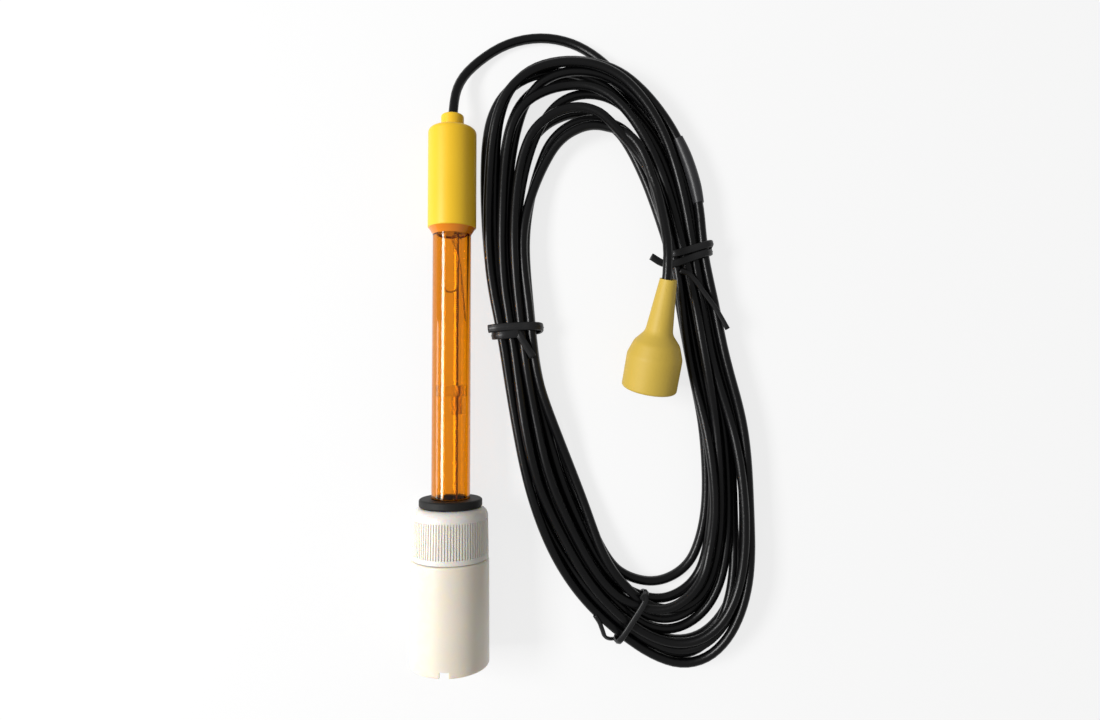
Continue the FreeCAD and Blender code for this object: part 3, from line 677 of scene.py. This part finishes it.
    def lane_in(self, rows: tuple[tuple[int, ...], ...], turn: int) -> float:
        """Give the lane that a turn has in a set of rows.

        Args:
            rows: the turns of each row, from the table up and from outside in.
            turn: the turn.

        Returns:
            The lane, from 0 for the outermost. The end that leads off to the plug has the innermost one.
        """
        for members, lanes in zip(rows, self.row_lanes):
            if turn in members:
                return lanes[members.index(turn)]
        return self.last_lane

    def lane_moves(self) -> list[LaneMove]:
        """List where the turns change lane: where the coil fans out, at its foot and at its top.

        Returns:
            The moves in order.
        """
        chance = random.Random(self.lane_seed)
        moves = []
        for turn in range(self.turns):
            start = turn * len(self.stations)
            foot = start + self.foot_station + chance.uniform(*self.foot_spread)
            top = start + self.top_station + chance.uniform(*self.top_spread)
            moves.append(LaneMove(foot, self.foot_reach, self.lane_in(self.left_rows, turn)))
            moves.append(LaneMove(top, self.top_reach, self.lane_in(self.right_rows, turn + 1)))
        return moves

    def lane(self, place: float, moves: Sequence[LaneMove]) -> float:
        """Give the lane at a place counted over all turns, with smooth changes.

        Args:
            place: the place in stations over all turns.
            moves: the changes of lane.

        Returns:
            The lane, 0 for the outermost.
        """
        lane = self.lane_in(self.right_rows, 0)
        for move in moves:
            if place < move.middle - move.reach:
                break
            lane += (move.lane - lane) * smooth_step((place - move.middle + move.reach) / (2 * move.reach))
        return lane

    def across(self, place: float, turn: int, moves: Sequence[LaneMove], drift: float) -> Vector:
        """Give the centre of one turn's strand on the table.

        Args:
            place: the place in stations within the turn.
            turn: the turn.
            moves: the changes of lane.
            drift: a shift to the side, from -1 to 1.

        Returns:
            The point, and its distance from the outer edge as the third value.
        """
        outer, inner = self.rail_points(place)
        width = (inner - outer).length
        opening = sum(gap.width * bump_at(place, gap.station, gap.reach) for gap in self.gaps)
        room = width - self.diameter - opening
        slack = max(room / (len(self.row_lanes[0]) - 1) - self.diameter, 0) / 2
        lane = self.lane(turn * len(self.stations) + place, moves)
        inward = self.diameter / 2 + room * lane / self.last_lane + drift * min(slack, self.wander)
        for gap in self.gaps:
            inward += gap.width * bump_at(place, gap.station, gap.reach) * smooth_step(lane - gap.after + 0.5)
        inward += self.sway(turn, turn * len(self.stations) + place)
        point = outer + (inner - outer) * (inward / width)
        return Vector((point.x, point.y, inward))

    def sway(self, turn: int, place: float) -> float:
        """Give the slow sway of the upper rows over the ones below, none at the ties.

        Args:
            turn: the turn.
            place: the place in stations over all turns.

        Returns:
            The shift inward.
        """
        shift = 0.0
        around = place % len(self.stations)
        held = max(bump_at(around, station, self.tie_hold) for station in self.tie_stations)
        for sway in self.sways:
            if turn >= sway.first:
                fade = smooth_step((place - sway.first * len(self.stations)) / sway.length)
                shift += sway.size * math.sin((place - sway.start) / sway.length * math.tau) * fade
        return shift * (1 - held)

    def strands(self) -> list[list[Vector]]:
        """Lay the turns one on another.

        Returns:
            For each turn its fine points, with z as the height of the cable's middle.
        """
        chance = random.Random(self.drift_seed)
        moves = self.lane_moves()
        places = self.even_places(self.points_per_turn * self.fine_steps)
        count = len(places)
        flat = []
        for turn in range(self.turns):
            beats = [chance.uniform(-1, 1) for _ in range(self.drift_beats + 1)]
            row: list[Vector] = []
            for index, place in enumerate(places):
                beat = index / count * self.drift_beats
                low = int(beat)
                drift = beats[low] + (beats[low + 1] - beats[low]) * smooth_step(beat - low)
                fade = math.sin(math.pi * index / count)
                row.append(self.across(place, turn, moves, drift * fade))
            flat.append(row)
        flat = self.relax(flat)
        heights = self.pile_up(flat, places)
        top = max(max(row) for row in heights) + self.diameter / 2
        log.info("coil: %d points laid, highest %.1f mm", count * self.turns, top / MM)
        return [[Vector((*point.xy, height)) for point, height in zip(*rows)] for rows in zip(flat, heights)]

    def pile_up(self, flat: list[list[Vector]], places: Sequence[float]) -> list[list[float]]:
        """Rest each turn on the table and on the turns below it.

        Args:
            flat: the turns' points, with the distance from the coil's outer edge as their third value.
            places: the places of a turn's points, in stations.

        Returns:
            For each turn the heights of the cable's middle.
        """
        radius = self.diameter / 2
        heights: list[list[float]] = []
        for row in flat:
            fresh = []
            for index, point in enumerate(row):
                lift = max(bump_at(places[index], tie, self.tie_lift_reach) for tie in self.tie_stations)
                height = radius + self.tie_lift * lift
                for lower, under in zip(flat, heights):
                    beside = abs(point.z - lower[index].z)
                    if beside < self.diameter:
                        height = max(height, under[index] + math.sqrt(self.diameter ** 2 - beside ** 2))
                fresh.append(height)
            heights.append(self.stiffen(fresh, heights[-1][-1] if heights else fresh[0]))
        return heights

    def relax(self, flat: list[list[Vector]], passes: int = 3, side: int = 2) -> list[list[Vector]]:
        """Ease the bends of the whole coil, as a springy cable does, and longer where one is still too tight.

        Args:
            flat: the turns' points.
            passes: how often every point moves to the middle of its neighbours.
            side: how many neighbours on each side count.

        Returns:
            The eased turns.
        """
        count = len(flat[0])
        chain = [point for row in flat for point in row]
        for _ in range(passes):
            chain = [self.eased(chain, index, min(side, index, len(chain) - 1 - index))
                     for index in range(len(chain))]
        for _ in range(self.easing_rounds):
            tight = self.tight_spots(chain, side)
            if not tight:
                break
            chain = [self.eased(chain, index, side) if index in tight else point
                     for index, point in enumerate(chain)]
        return [chain[first:first + count] for first in range(0, len(chain), count)]

    @staticmethod
    def eased(chain: Sequence[Vector], index: int, side: int) -> Vector:
        """Give the middle of the point at an index and of as many neighbours on each side as asked."""
        return sum(chain[index - side:index + side + 1], Vector()) / (2 * side + 1)

    def tight_spots(self, chain: Sequence[Vector], side: int) -> set[int]:
        """Find the points near a bend that is too tight.

        Args:
            chain: the laid points of all turns, one after another.
            side: how many points at each end are left out.

        Returns:
            Their places in the chain.
        """
        reach = self.fine_steps * self.easing_reach
        tight: set[int] = set()
        for index in range(reach, len(chain) - reach):
            before, here, after = (chain[index + step].xy for step in (-self.fine_steps, 0, self.fine_steps))
            run = ((here - before).length + (after - here).length) / 2
            if (here - before).angle(after - here, 0.0) * self.tightest_bend > run:
                tight.update(range(max(index - reach, side), min(index + reach + 1, len(chain) - side)))
        return tight

    def stiffen(self, heights: list[float], before: float, side: int = 3) -> list[float]:
        """Let a strand bridge what it can't follow, as a springy cable does.

        Args:
            heights: the lowest heights that the strand may have.
            before: the height where the last turn ended.
            side: how many neighbours on each side the smoothing takes.

        Returns:
            The heights after bridging and a light smoothing.
        """
        bend = self.bend_per_step / self.fine_steps ** 2
        reach = self.fine_steps * self.bridge
        held = [before] + heights
        bridged = []
        for index in range(len(held)):
            near = range(max(0, index - reach), min(len(held), index + reach + 1))
            bridged.append(max(held[other] - bend * (other - index) ** 2 for other in near))
        smooth = []
        for index in range(1, len(bridged)):
            near = bridged[max(0, index - side):index + side + 1]
            smooth.append(max(sum(near) / len(near), self.diameter / 2))
        return smooth

    def route(self) -> list[Vector]:
        """Give the control points of the whole cable, from the head to the plug.

        Returns:
            The points.
        """
        points = [Vector(point) for point in self.lead]
        coil = [point for row in self.laid for point in row]
        points += coil[self.fine_steps::self.fine_steps]
        points += [Vector(point) for point in self.tail]
        return points

    def build(self) -> bpy.types.Object:
        """Lay the cable and make it as one curve.

        Returns:
            The cable.
        """
        self.laid = self.strands()
        data = round_tube("cable", self.route(), self.diameter / 2)
        cable = add_piece("cable", data, ["cable_lead", "cable_coil", "cable_tail"])
        return self.finishes.dress(cable, "cable_jacket")


# Electrode, storage pieces and plug


@dataclass
class CarriedOver:
    """Carried-over pieces that only take a finish.

    Attributes:
        finishes: the finishes.
        nodes: each node's finish.
    """

    finishes: Finishes
    nodes: dict[str, str] = field(default_factory=dict)

    def build(self) -> None:
        """Dress the pieces."""
        for name, finish in self.nodes.items():
            self.finishes.dress(fetch(name), finish)
            log.info("%s: %s", name, finish)


@dataclass
class Electrode(CarriedOver):
    """The amber tube with what it holds, and the yellow head cap.

    Attributes:
        tube_radius: the tube's outer radius.
        wall: its wall.
        flare_step: how much wider than the tube its flare under the head cap is at least.
    """

    nodes: dict[str, str] = field(default_factory=lambda: {
        "body_tube": "amber_plastic", "tip_plug": "resin", "top_bung": "bung_rubber",
        "spacer_collar": "collar_plastic", "collar_sleeve": "clear_sleeve", "inner_stem": "clear_glass",
        "platinum_pin": "platinum", "lead_wire": "lead_copper", "junction_frit": "frit",
        "reference_wire": "silver", "head_cap": "yellow_plastic", "head_potting": "potting",
        "sealing_washer": "washer_rubber"})
    tube_radius: float = 6.0 * MM
    wall: float = 1.2 * MM
    flare_step: float = 0.15 * MM

    def colour_tube(self) -> None:
        """Give the flare under the head cap an opaque, darker copy of the amber, with the light seen through
        it and its shade painted in, and leave the bore uncoloured.

        The outer wall then carries the whole tint, so the tube is as deep an amber at its edges as in
        its middle. The storage cap turns on the tube's axis.
        """
        tube = fetch("body_tube").data
        indices = {}
        for finish in ("amber_shoulder_painted_light_and_shade", "amber_bore"):
            indices[finish] = len(tube.materials)
            tube.materials.append(self.finishes.materials[finish])
        turn = next(joint for joint in frame["joints"] if joint["name"] == "cap_turn")
        middle = Vector(turn["pos_m"])
        axis = Vector(turn["axis"])
        for polygon in tube.polygons:
            arm = polygon.center - middle
            reach = (arm - axis * arm.dot(axis)).length
            # The flare takes the opaque amber with its painted light and shade, in place of the clear amber.
            if reach > self.tube_radius + self.flare_step:
                polygon.material_index = indices["amber_shoulder_painted_light_and_shade"]
            elif reach < self.tube_radius - self.wall / 2:
                polygon.material_index = indices["amber_bore"]

    def build(self) -> None:
        """Dress the pieces, then the tube's flare and bore."""
        super().build()
        self.colour_tube()


@dataclass
class Storage(CarriedOver):
    """The ribbed cap and the bottle that keeps the tip wet."""

    nodes: dict[str, str] = field(default_factory=lambda: {
        "storage_cap": "cap_white", "cap_liner": "liner", "storage_bottle": "white_plastic"})


@dataclass
class Plug(CarriedOver):
    """The plug under its yellow boot."""

    nodes: dict[str, str] = field(default_factory=lambda: {
        "plug_body": "nickel", "plug_insulator": "insulator_white", "plug_centre_pin": "contact_gold",
        "plug_gasket": "red_rubber", "plug_spring_washer": "nickel", "crimp_ferrule": "nickel",
        "coupling_ring": "nickel", "plug_boot": "yellow_rubber"})


@dataclass(frozen=True)
class StrapRun:
    """One strip of a tie, in the tie's own frame: across the coil, along it, height and lean.

    Attributes:
        stops: the points that the strip's middle passes, in millimetres, each with how far its flat side
            leans from upright towards the tie's across direction, in degrees.
        width: how wide the strip is.
    """

    stops: tuple[tuple[float, float, float, float], ...]
    width: float = 2.3 * MM


@dataclass(frozen=True)
class TieShape:
    """Where a tie lies and how its strip runs.

    Attributes:
        node: the carried-over node that it stands for.
        middle: its middle on the table.
        turn: the turn of its across direction, in degrees.
        runs: its strips.
    """

    node: str
    middle: Point2
    turn: float
    runs: tuple[StrapRun, ...]


@dataclass
class CoilBands:
    """The three ties and the heat-shrink sleeve on the coil.

    Attributes:
        finishes: the finishes.
        thick: the ties' thickness.
        rib: how far the rib over a tie's core wire stands proud.
        rib_share: how wide that rib is, as a share of the tie.
        edge_steps: how many facets each rounded edge of a tie has.
        run_steps: how many pieces each run of a tie gets.
        sleeve_radius: the sleeve's outer radius.
        sleeve_taper: how wide its ends are, as a share of the radius.
        sleeve_from: where it starts on the table.
        sleeve_to: where it ends.
        ties: the ties.
    """

    finishes: Finishes
    thick: float = 0.85 * MM
    rib: float = 0.16 * MM
    rib_share: float = 0.28
    edge_steps: int = 4
    run_steps: int = 7
    sleeve_radius: float = 2.0 * MM
    sleeve_taper: float = 0.86
    sleeve_from: Point2 = (0.072, 0.0782)
    sleeve_to: Point2 = (0.077, 0.0562)
    ties: tuple[TieShape, ...] = (
        TieShape("tie_left", (0.0201, 0.0174), 3.0, (
            StrapRun(((-8.6, 1.0, 8.3, -20), (-6.0, 1.2, 9.3, -8), (-2.0, 1.3, 9.7, 0), (2.0, 1.3, 9.7, 0),
                      (5.4, 1.2, 9.5, 15), (7.8, 1.0, 7.6, 65), (8.3, 0.6, 4.6, 95), (7.0, 0.1, 1.3, 140),
                      (4.0, 0.0, 0.46, 180), (-3.0, -0.6, 0.46, 180), (-6.4, -0.9, 1.5, 225),
                      (-7.5, -1.1, 4.8, 270), (-7.0, -1.2, 8.0, 315), (-4.6, -1.2, 9.8, 350),
                      (-1.4, -1.1, 10.0, 360), (1.0, -0.9, 9.6, 368)), 2.6 * MM),
            StrapRun(((0.2, 0.4, 9.0, 0), (1.2, -1.6, 9.7, 0), (2.6, -4.2, 9.6, 4), (5.0, -8.6, 9.3, 6))))),
        TieShape("tie_right", (0.0751, 0.0415), 8.0, (
            StrapRun(((-12.6, 0.8, 10.4, 10), (-9.0, -1.8, 9.9, 0), (-5.0, -2.2, 9.8, 0), (0.0, -1.2, 9.8, 0),
                      (4.4, -0.4, 9.6, 14), (6.9, 0.0, 7.4, 70), (7.2, 0.2, 4.2, 95), (6.2, 0.4, 1.2, 140),
                      (3.2, 0.6, 0.46, 180), (-3.2, 0.8, 0.46, 180), (-6.4, 0.8, 1.6, 230),
                      (-7.2, 0.8, 5.0, 275), (-6.0, 0.8, 8.6, 325), (-3.6, 0.9, 9.8, 355),
                      (1.5, 1.6, 10.1, 360), (5.2, 2.2, 9.8, 370), (7.3, 2.4, 8.2, 410),
                      (6.9, 1.2, 6.6, 440))),
            StrapRun(((-4.0, -4.6, 9.3, 0), (-1.0, -6.8, 9.7, 0), (2.4, -12.6, 9.6, 3), (5.6, -18.6, 9.5, 5),
                      (8.2, -25.0, 9.5, 6)), 1.6 * MM))),
        TieShape("tie_bottom", (0.0557, -0.0731), 59.0, (
            StrapRun(((7.4, -0.2, 9.9, 25), (8.9, -0.9, 8.4, 75), (9.2, -1.4, 5.2, 95), (7.8, -1.6, 1.6, 140),
                      (4.6, -1.7, 0.46, 180), (-4.6, -1.7, 0.46, 180), (-8.0, -1.6, 1.6, 225),
                      (-9.2, -1.4, 4.6, 270), (-8.4, -1.4, 7.9, 315), (-5.6, -1.4, 9.3, 350),
                      (0.0, -1.5, 9.7, 360), (5.0, -1.6, 9.8, 362), (7.6, -1.5, 9.6, 380),
                      (9.0, -1.0, 8.8, 400)), 1.9 * MM),
            StrapRun(((-7.6, -2.6, 1.8, -80), (-9.8, -0.8, 3.2, -70), (-10.2, 2.0, 4.6, -55),
                      (-8.4, 4.4, 5.6, -45), (-6.8, 6.4, 6.2, -40), (-5.4, 9.0, 6.8, -35)), 1.6 * MM))),
    )

    def profile(self, width: float) -> list[Point2]:
        """Give the strip's section: flat, with rounded edges and a low rib over its core wire.

        Args:
            width: how wide the strip is.

        Returns:
            Its points, side and height from the strip's middle.
        """
        half = width / 2
        edge = self.thick / 2
        points = []
        for side in (1, -1):
            for step in range(self.edge_steps + 1):
                angle = math.radians(-90 + 180 / self.edge_steps * step)
                points.append((side * (half - edge + edge * math.cos(angle)), side * edge * math.sin(angle)))
            points.append((side * half * self.rib_share, side * edge))
            points.append((0.0, side * (edge + self.rib)))
            points.append((-side * half * self.rib_share, side * edge))
        return points

    def sweep(self, run: StrapRun) -> tuple[list[Vector], list[tuple[int, ...]]]:
        """Sweep one strip of a tie, in the tie's own frame.

        Args:
            run: the strip.

        Returns:
            Its points and its faces, which look outward and close its ends too.
        """
        profile = self.profile(run.width)
        line = through([Vector(stop) for stop in run.stops], self.run_steps)
        points = []
        for index, stop in enumerate(line):
            ahead = line[min(index + 1, len(line) - 1)] - line[max(index - 1, 0)]
            tangent = ahead.to_3d().normalized()
            lean = math.radians(stop[3])
            side = tangent.cross(Vector((math.sin(lean), 0, math.cos(lean)))).normalized()
            up = side.cross(tangent)
            for across, height in profile:
                points.append(stop.to_3d() * MM + side * across + up * height)
        ring = len(profile)
        last = len(points) - ring
        faces = [tuple(range(ring))]
        for first in range(0, last, ring):
            for corner in range(ring):
                after = (corner + 1) % ring
                faces.append((first + corner, first + ring + corner, first + ring + after, first + after))
        faces.append(tuple(reversed(range(last, last + ring))))
        return points, faces

    def strap(self, tie: TieShape) -> bpy.types.Mesh:
        """Make a tie of its strips.

        Args:
            tie: the tie.

        Returns:
            One mesh of all its strips.
        """
        place = Matrix.Translation((*tie.middle, 0)) @ Matrix.Rotation(math.radians(tie.turn), 4, "Z")
        vertices: list[Vector] = []
        faces: list[tuple[int, ...]] = []
        for run in tie.runs:
            first = len(vertices)
            points, sides = self.sweep(run)
            vertices.extend(place @ point for point in points)
            faces.extend(tuple(first + corner for corner in face) for face in sides)
        mesh = bpy.data.meshes.new(tie.node + "_strap")
        mesh.from_pydata(vertices, [], faces)
        mesh.validate()
        # Only the ends have more than four corners, and they stay flat.
        for polygon in mesh.polygons:
            polygon.use_smooth = len(polygon.vertices) == 4
        return mesh

    def sleeve(self, cable: Cable) -> bpy.types.Curve:
        """Shrink a sleeve onto the strand that lies on top at its place.

        Args:
            cable: the laid cable.

        Returns:
            The sleeve's curve.
        """
        spots = [Vector(self.sleeve_from), Vector(self.sleeve_to)]
        aim = sum(spots, Vector((0, 0))) / 2
        least = math.inf
        inside: list[Vector] = []
        for strand in cable.laid:
            first, last = (min(range(len(strand)), key=lambda item: (strand[item].xy - spot).length)
                           for spot in spots)
            middle = strand[(first + last) // 2]
            miss = (middle.xy - aim).length - middle.z
            if miss < least:
                least = miss
                inside = strand[first:last + 1:2]
        return round_tube("cable_sleeve_tube", inside, self.sleeve_radius, self.sleeve_taper)

    def build(self, cable: Cable) -> list[bpy.types.Object]:
        """Make the ties and the sleeve.

        Args:
            cable: the laid cable.

        Returns:
            The new pieces.
        """
        pieces = []
        for tie in self.ties:
            piece = add_piece(tie.node + "_strap", self.strap(tie), [tie.node])
            pieces.append(self.finishes.dress(piece, "tie_plastic"))
        piece = add_piece("cable_sleeve_tube", self.sleeve(cable), ["cable_sleeve"])
        pieces.append(self.finishes.dress(piece, "shrink_sleeve"))
        return pieces


# Camera, floor and lights


@dataclass(frozen=True)
class Lamp:
    """An oblong lamp that looks at the object.

    Attributes:
        name: the lamp's name.
        place: where it hangs.
        sides: its side along the object and the side across it.
        power: its power in watts.
    """

    name: str
    place: Point3
    sides: tuple[float, float]
    power: float


@dataclass
class Studio:
    """A pale table, soft light from all round and a camera straight above.

    Attributes:
        eye: where the camera is.
        lens: its focal length, in millimetres.
        frame_width: the width of its frame, in millimetres.
        nearest: how near to it something can be seen.
        floor_size: the table's side.
        floor_drop: how far the table lies below the object's lowest point.
        floor_grey: how pale the table's surface is.
        floor_roughness: how rough it is.
        floor_white: how much of it is plain white to the camera, in mirrors and through glass.
        world_strength: how strong the light from all round is.
        aim: where the lamps look.
        lamps: the lamps.
    """

    eye: Point3 = (0.0309, 0.00815, 0.223)
    lens: float = 22.25
    frame_width: float = 36.0
    nearest: float = 10.0 * MM
    floor_size: float = 6.0
    floor_drop: float = 0.05 * MM
    floor_grey: float = 0.86
    floor_roughness: float = 0.7
    floor_white: float = 0.78
    world_strength: float = 0.35
    aim: Point3 = (0.03, 0.0, 0.0)
    lamps: tuple[Lamp, ...] = (
        Lamp("window_lamp", (-0.54, 0.04, 0.54), (0.38, 0.2), 5.8),
        Lamp("low_lamp", (-0.85, -0.05, 0.12), (0.3, 0.2), 1.1))

    def add_camera(self) -> None:
        """Place the camera, which looks straight down with +Y up in the picture."""
        data = bpy.data.cameras.new("camera")
        data.lens = self.lens
        data.sensor_width = self.frame_width
        data.clip_start = self.nearest
        camera = bpy.data.objects.new("camera", data)
        camera.location = self.eye
        bpy.context.scene.collection.objects.link(camera)
        bpy.context.scene.camera = camera

    def add_lamp(self, lamp: Lamp) -> None:
        """Hang a lamp.

        Args:
            lamp: the lamp.
        """
        data = bpy.data.lights.new(lamp.name, "AREA")
        data.shape = "RECTANGLE"
        data.size, data.size_y = lamp.sides
        data.energy = lamp.power
        hung = bpy.data.objects.new(lamp.name, data)
        hung.location = lamp.place
        aim = Vector(self.aim) - Vector(lamp.place)
        hung.rotation_euler = aim.to_track_quat("-Z", "Y").to_euler()
        bpy.context.scene.collection.objects.link(hung)

    def add_floor(self) -> None:
        """Add the pale table under the object."""
        half = self.floor_size / 2
        data = bpy.data.meshes.new("table_top")
        corners = [(-half, -half, 0), (half, -half, 0), (half, half, 0), (-half, half, 0)]
        data.from_pydata(corners, [], [(0, 1, 2, 3)])
        floor = bpy.data.objects.new("table_top", data)
        floor.location.z = -self.floor_drop
        bpy.context.scene.collection.objects.link(floor)
        floor.data.materials.append(self.floor_material())

    def floor_material(self) -> bpy.types.Material:
        """Build the table's surface, which keeps the object's shadow and is mostly white to the camera.

        Returns:
            The material.
        """
        shader = Shader("table_top")
        grey = self.floor_grey
        shader.principled.inputs["Base Color"].default_value = (grey, grey, grey, 1)
        shader.principled.inputs["Roughness"].default_value = self.floor_roughness
        glow = shader.node("ShaderNodeEmission")
        glow.inputs["Color"].default_value = (1, 1, 1, 1)
        glow.inputs["Strength"].default_value = 1.0
        mix = shader.node("ShaderNodeMixShader")
        rays = shader.node("ShaderNodeLightPath")
        seen = shader.node("ShaderNodeMath", operation="MAXIMUM")
        plain = shader.node("ShaderNodeMath", operation="MAXIMUM")
        share = shader.node("ShaderNodeMath", operation="MULTIPLY")
        share.inputs[1].default_value = self.floor_white
        shader.link(rays.outputs["Is Camera Ray"], seen.inputs[0])
        shader.link(rays.outputs["Is Glossy Ray"], seen.inputs[1])
        shader.link(seen.outputs[0], plain.inputs[0])
        shader.link(rays.outputs["Is Transmission Ray"], plain.inputs[1])
        shader.link(plain.outputs[0], share.inputs[0])
        shader.link(share.outputs[0], mix.inputs["Fac"])
        shader.link(shader.principled.outputs["BSDF"], mix.inputs[1])
        shader.link(glow.outputs["Emission"], mix.inputs[2])
        shader.link(mix.outputs["Shader"], shader.output.inputs["Surface"])
        return shader.material

    def set_world(self) -> None:
        """Light the room evenly, white where the camera looks past the table."""
        world = bpy.data.worlds.new("room")
        bpy.context.scene.world = world
        world.use_nodes = True
        tree = world.node_tree
        tree.nodes.clear()
        output = tree.nodes.new("ShaderNodeOutputWorld")
        room = tree.nodes.new("ShaderNodeBackground")
        room.inputs["Color"].default_value = (1, 1, 1, 1)
        room.inputs["Strength"].default_value = self.world_strength
        white = tree.nodes.new("ShaderNodeBackground")
        white.inputs["Color"].default_value = (1, 1, 1, 1)
        mix = tree.nodes.new("ShaderNodeMixShader")
        rays = tree.nodes.new("ShaderNodeLightPath")
        tree.links.new(rays.outputs["Is Camera Ray"], mix.inputs["Fac"])
        tree.links.new(room.outputs["Background"], mix.inputs[1])
        tree.links.new(white.outputs["Background"], mix.inputs[2])
        tree.links.new(mix.outputs["Shader"], output.inputs["Surface"])

    def build(self) -> None:
        """Set up the whole studio."""
        self.add_camera()
        self.add_floor()
        self.set_world()
        for lamp in self.lamps:
            self.add_lamp(lamp)
        bpy.context.scene.view_settings.view_transform = "Standard"


def main() -> None:
    """Dress the object in order: cable first, then the rigid pieces, then the studio."""
    finishes = Finishes()
    cable = Cable(finishes)
    line = cable.build()
    plug = Plug(finishes)
    for group in (Electrode(finishes), Storage(finishes), plug):
        group.build()
    bands = CoilBands(finishes).build(cable)
    Studio().build()


if __name__ == "__main__":
    logging.basicConfig(level=logging.INFO, format="%(name)s: %(message)s")
    main()
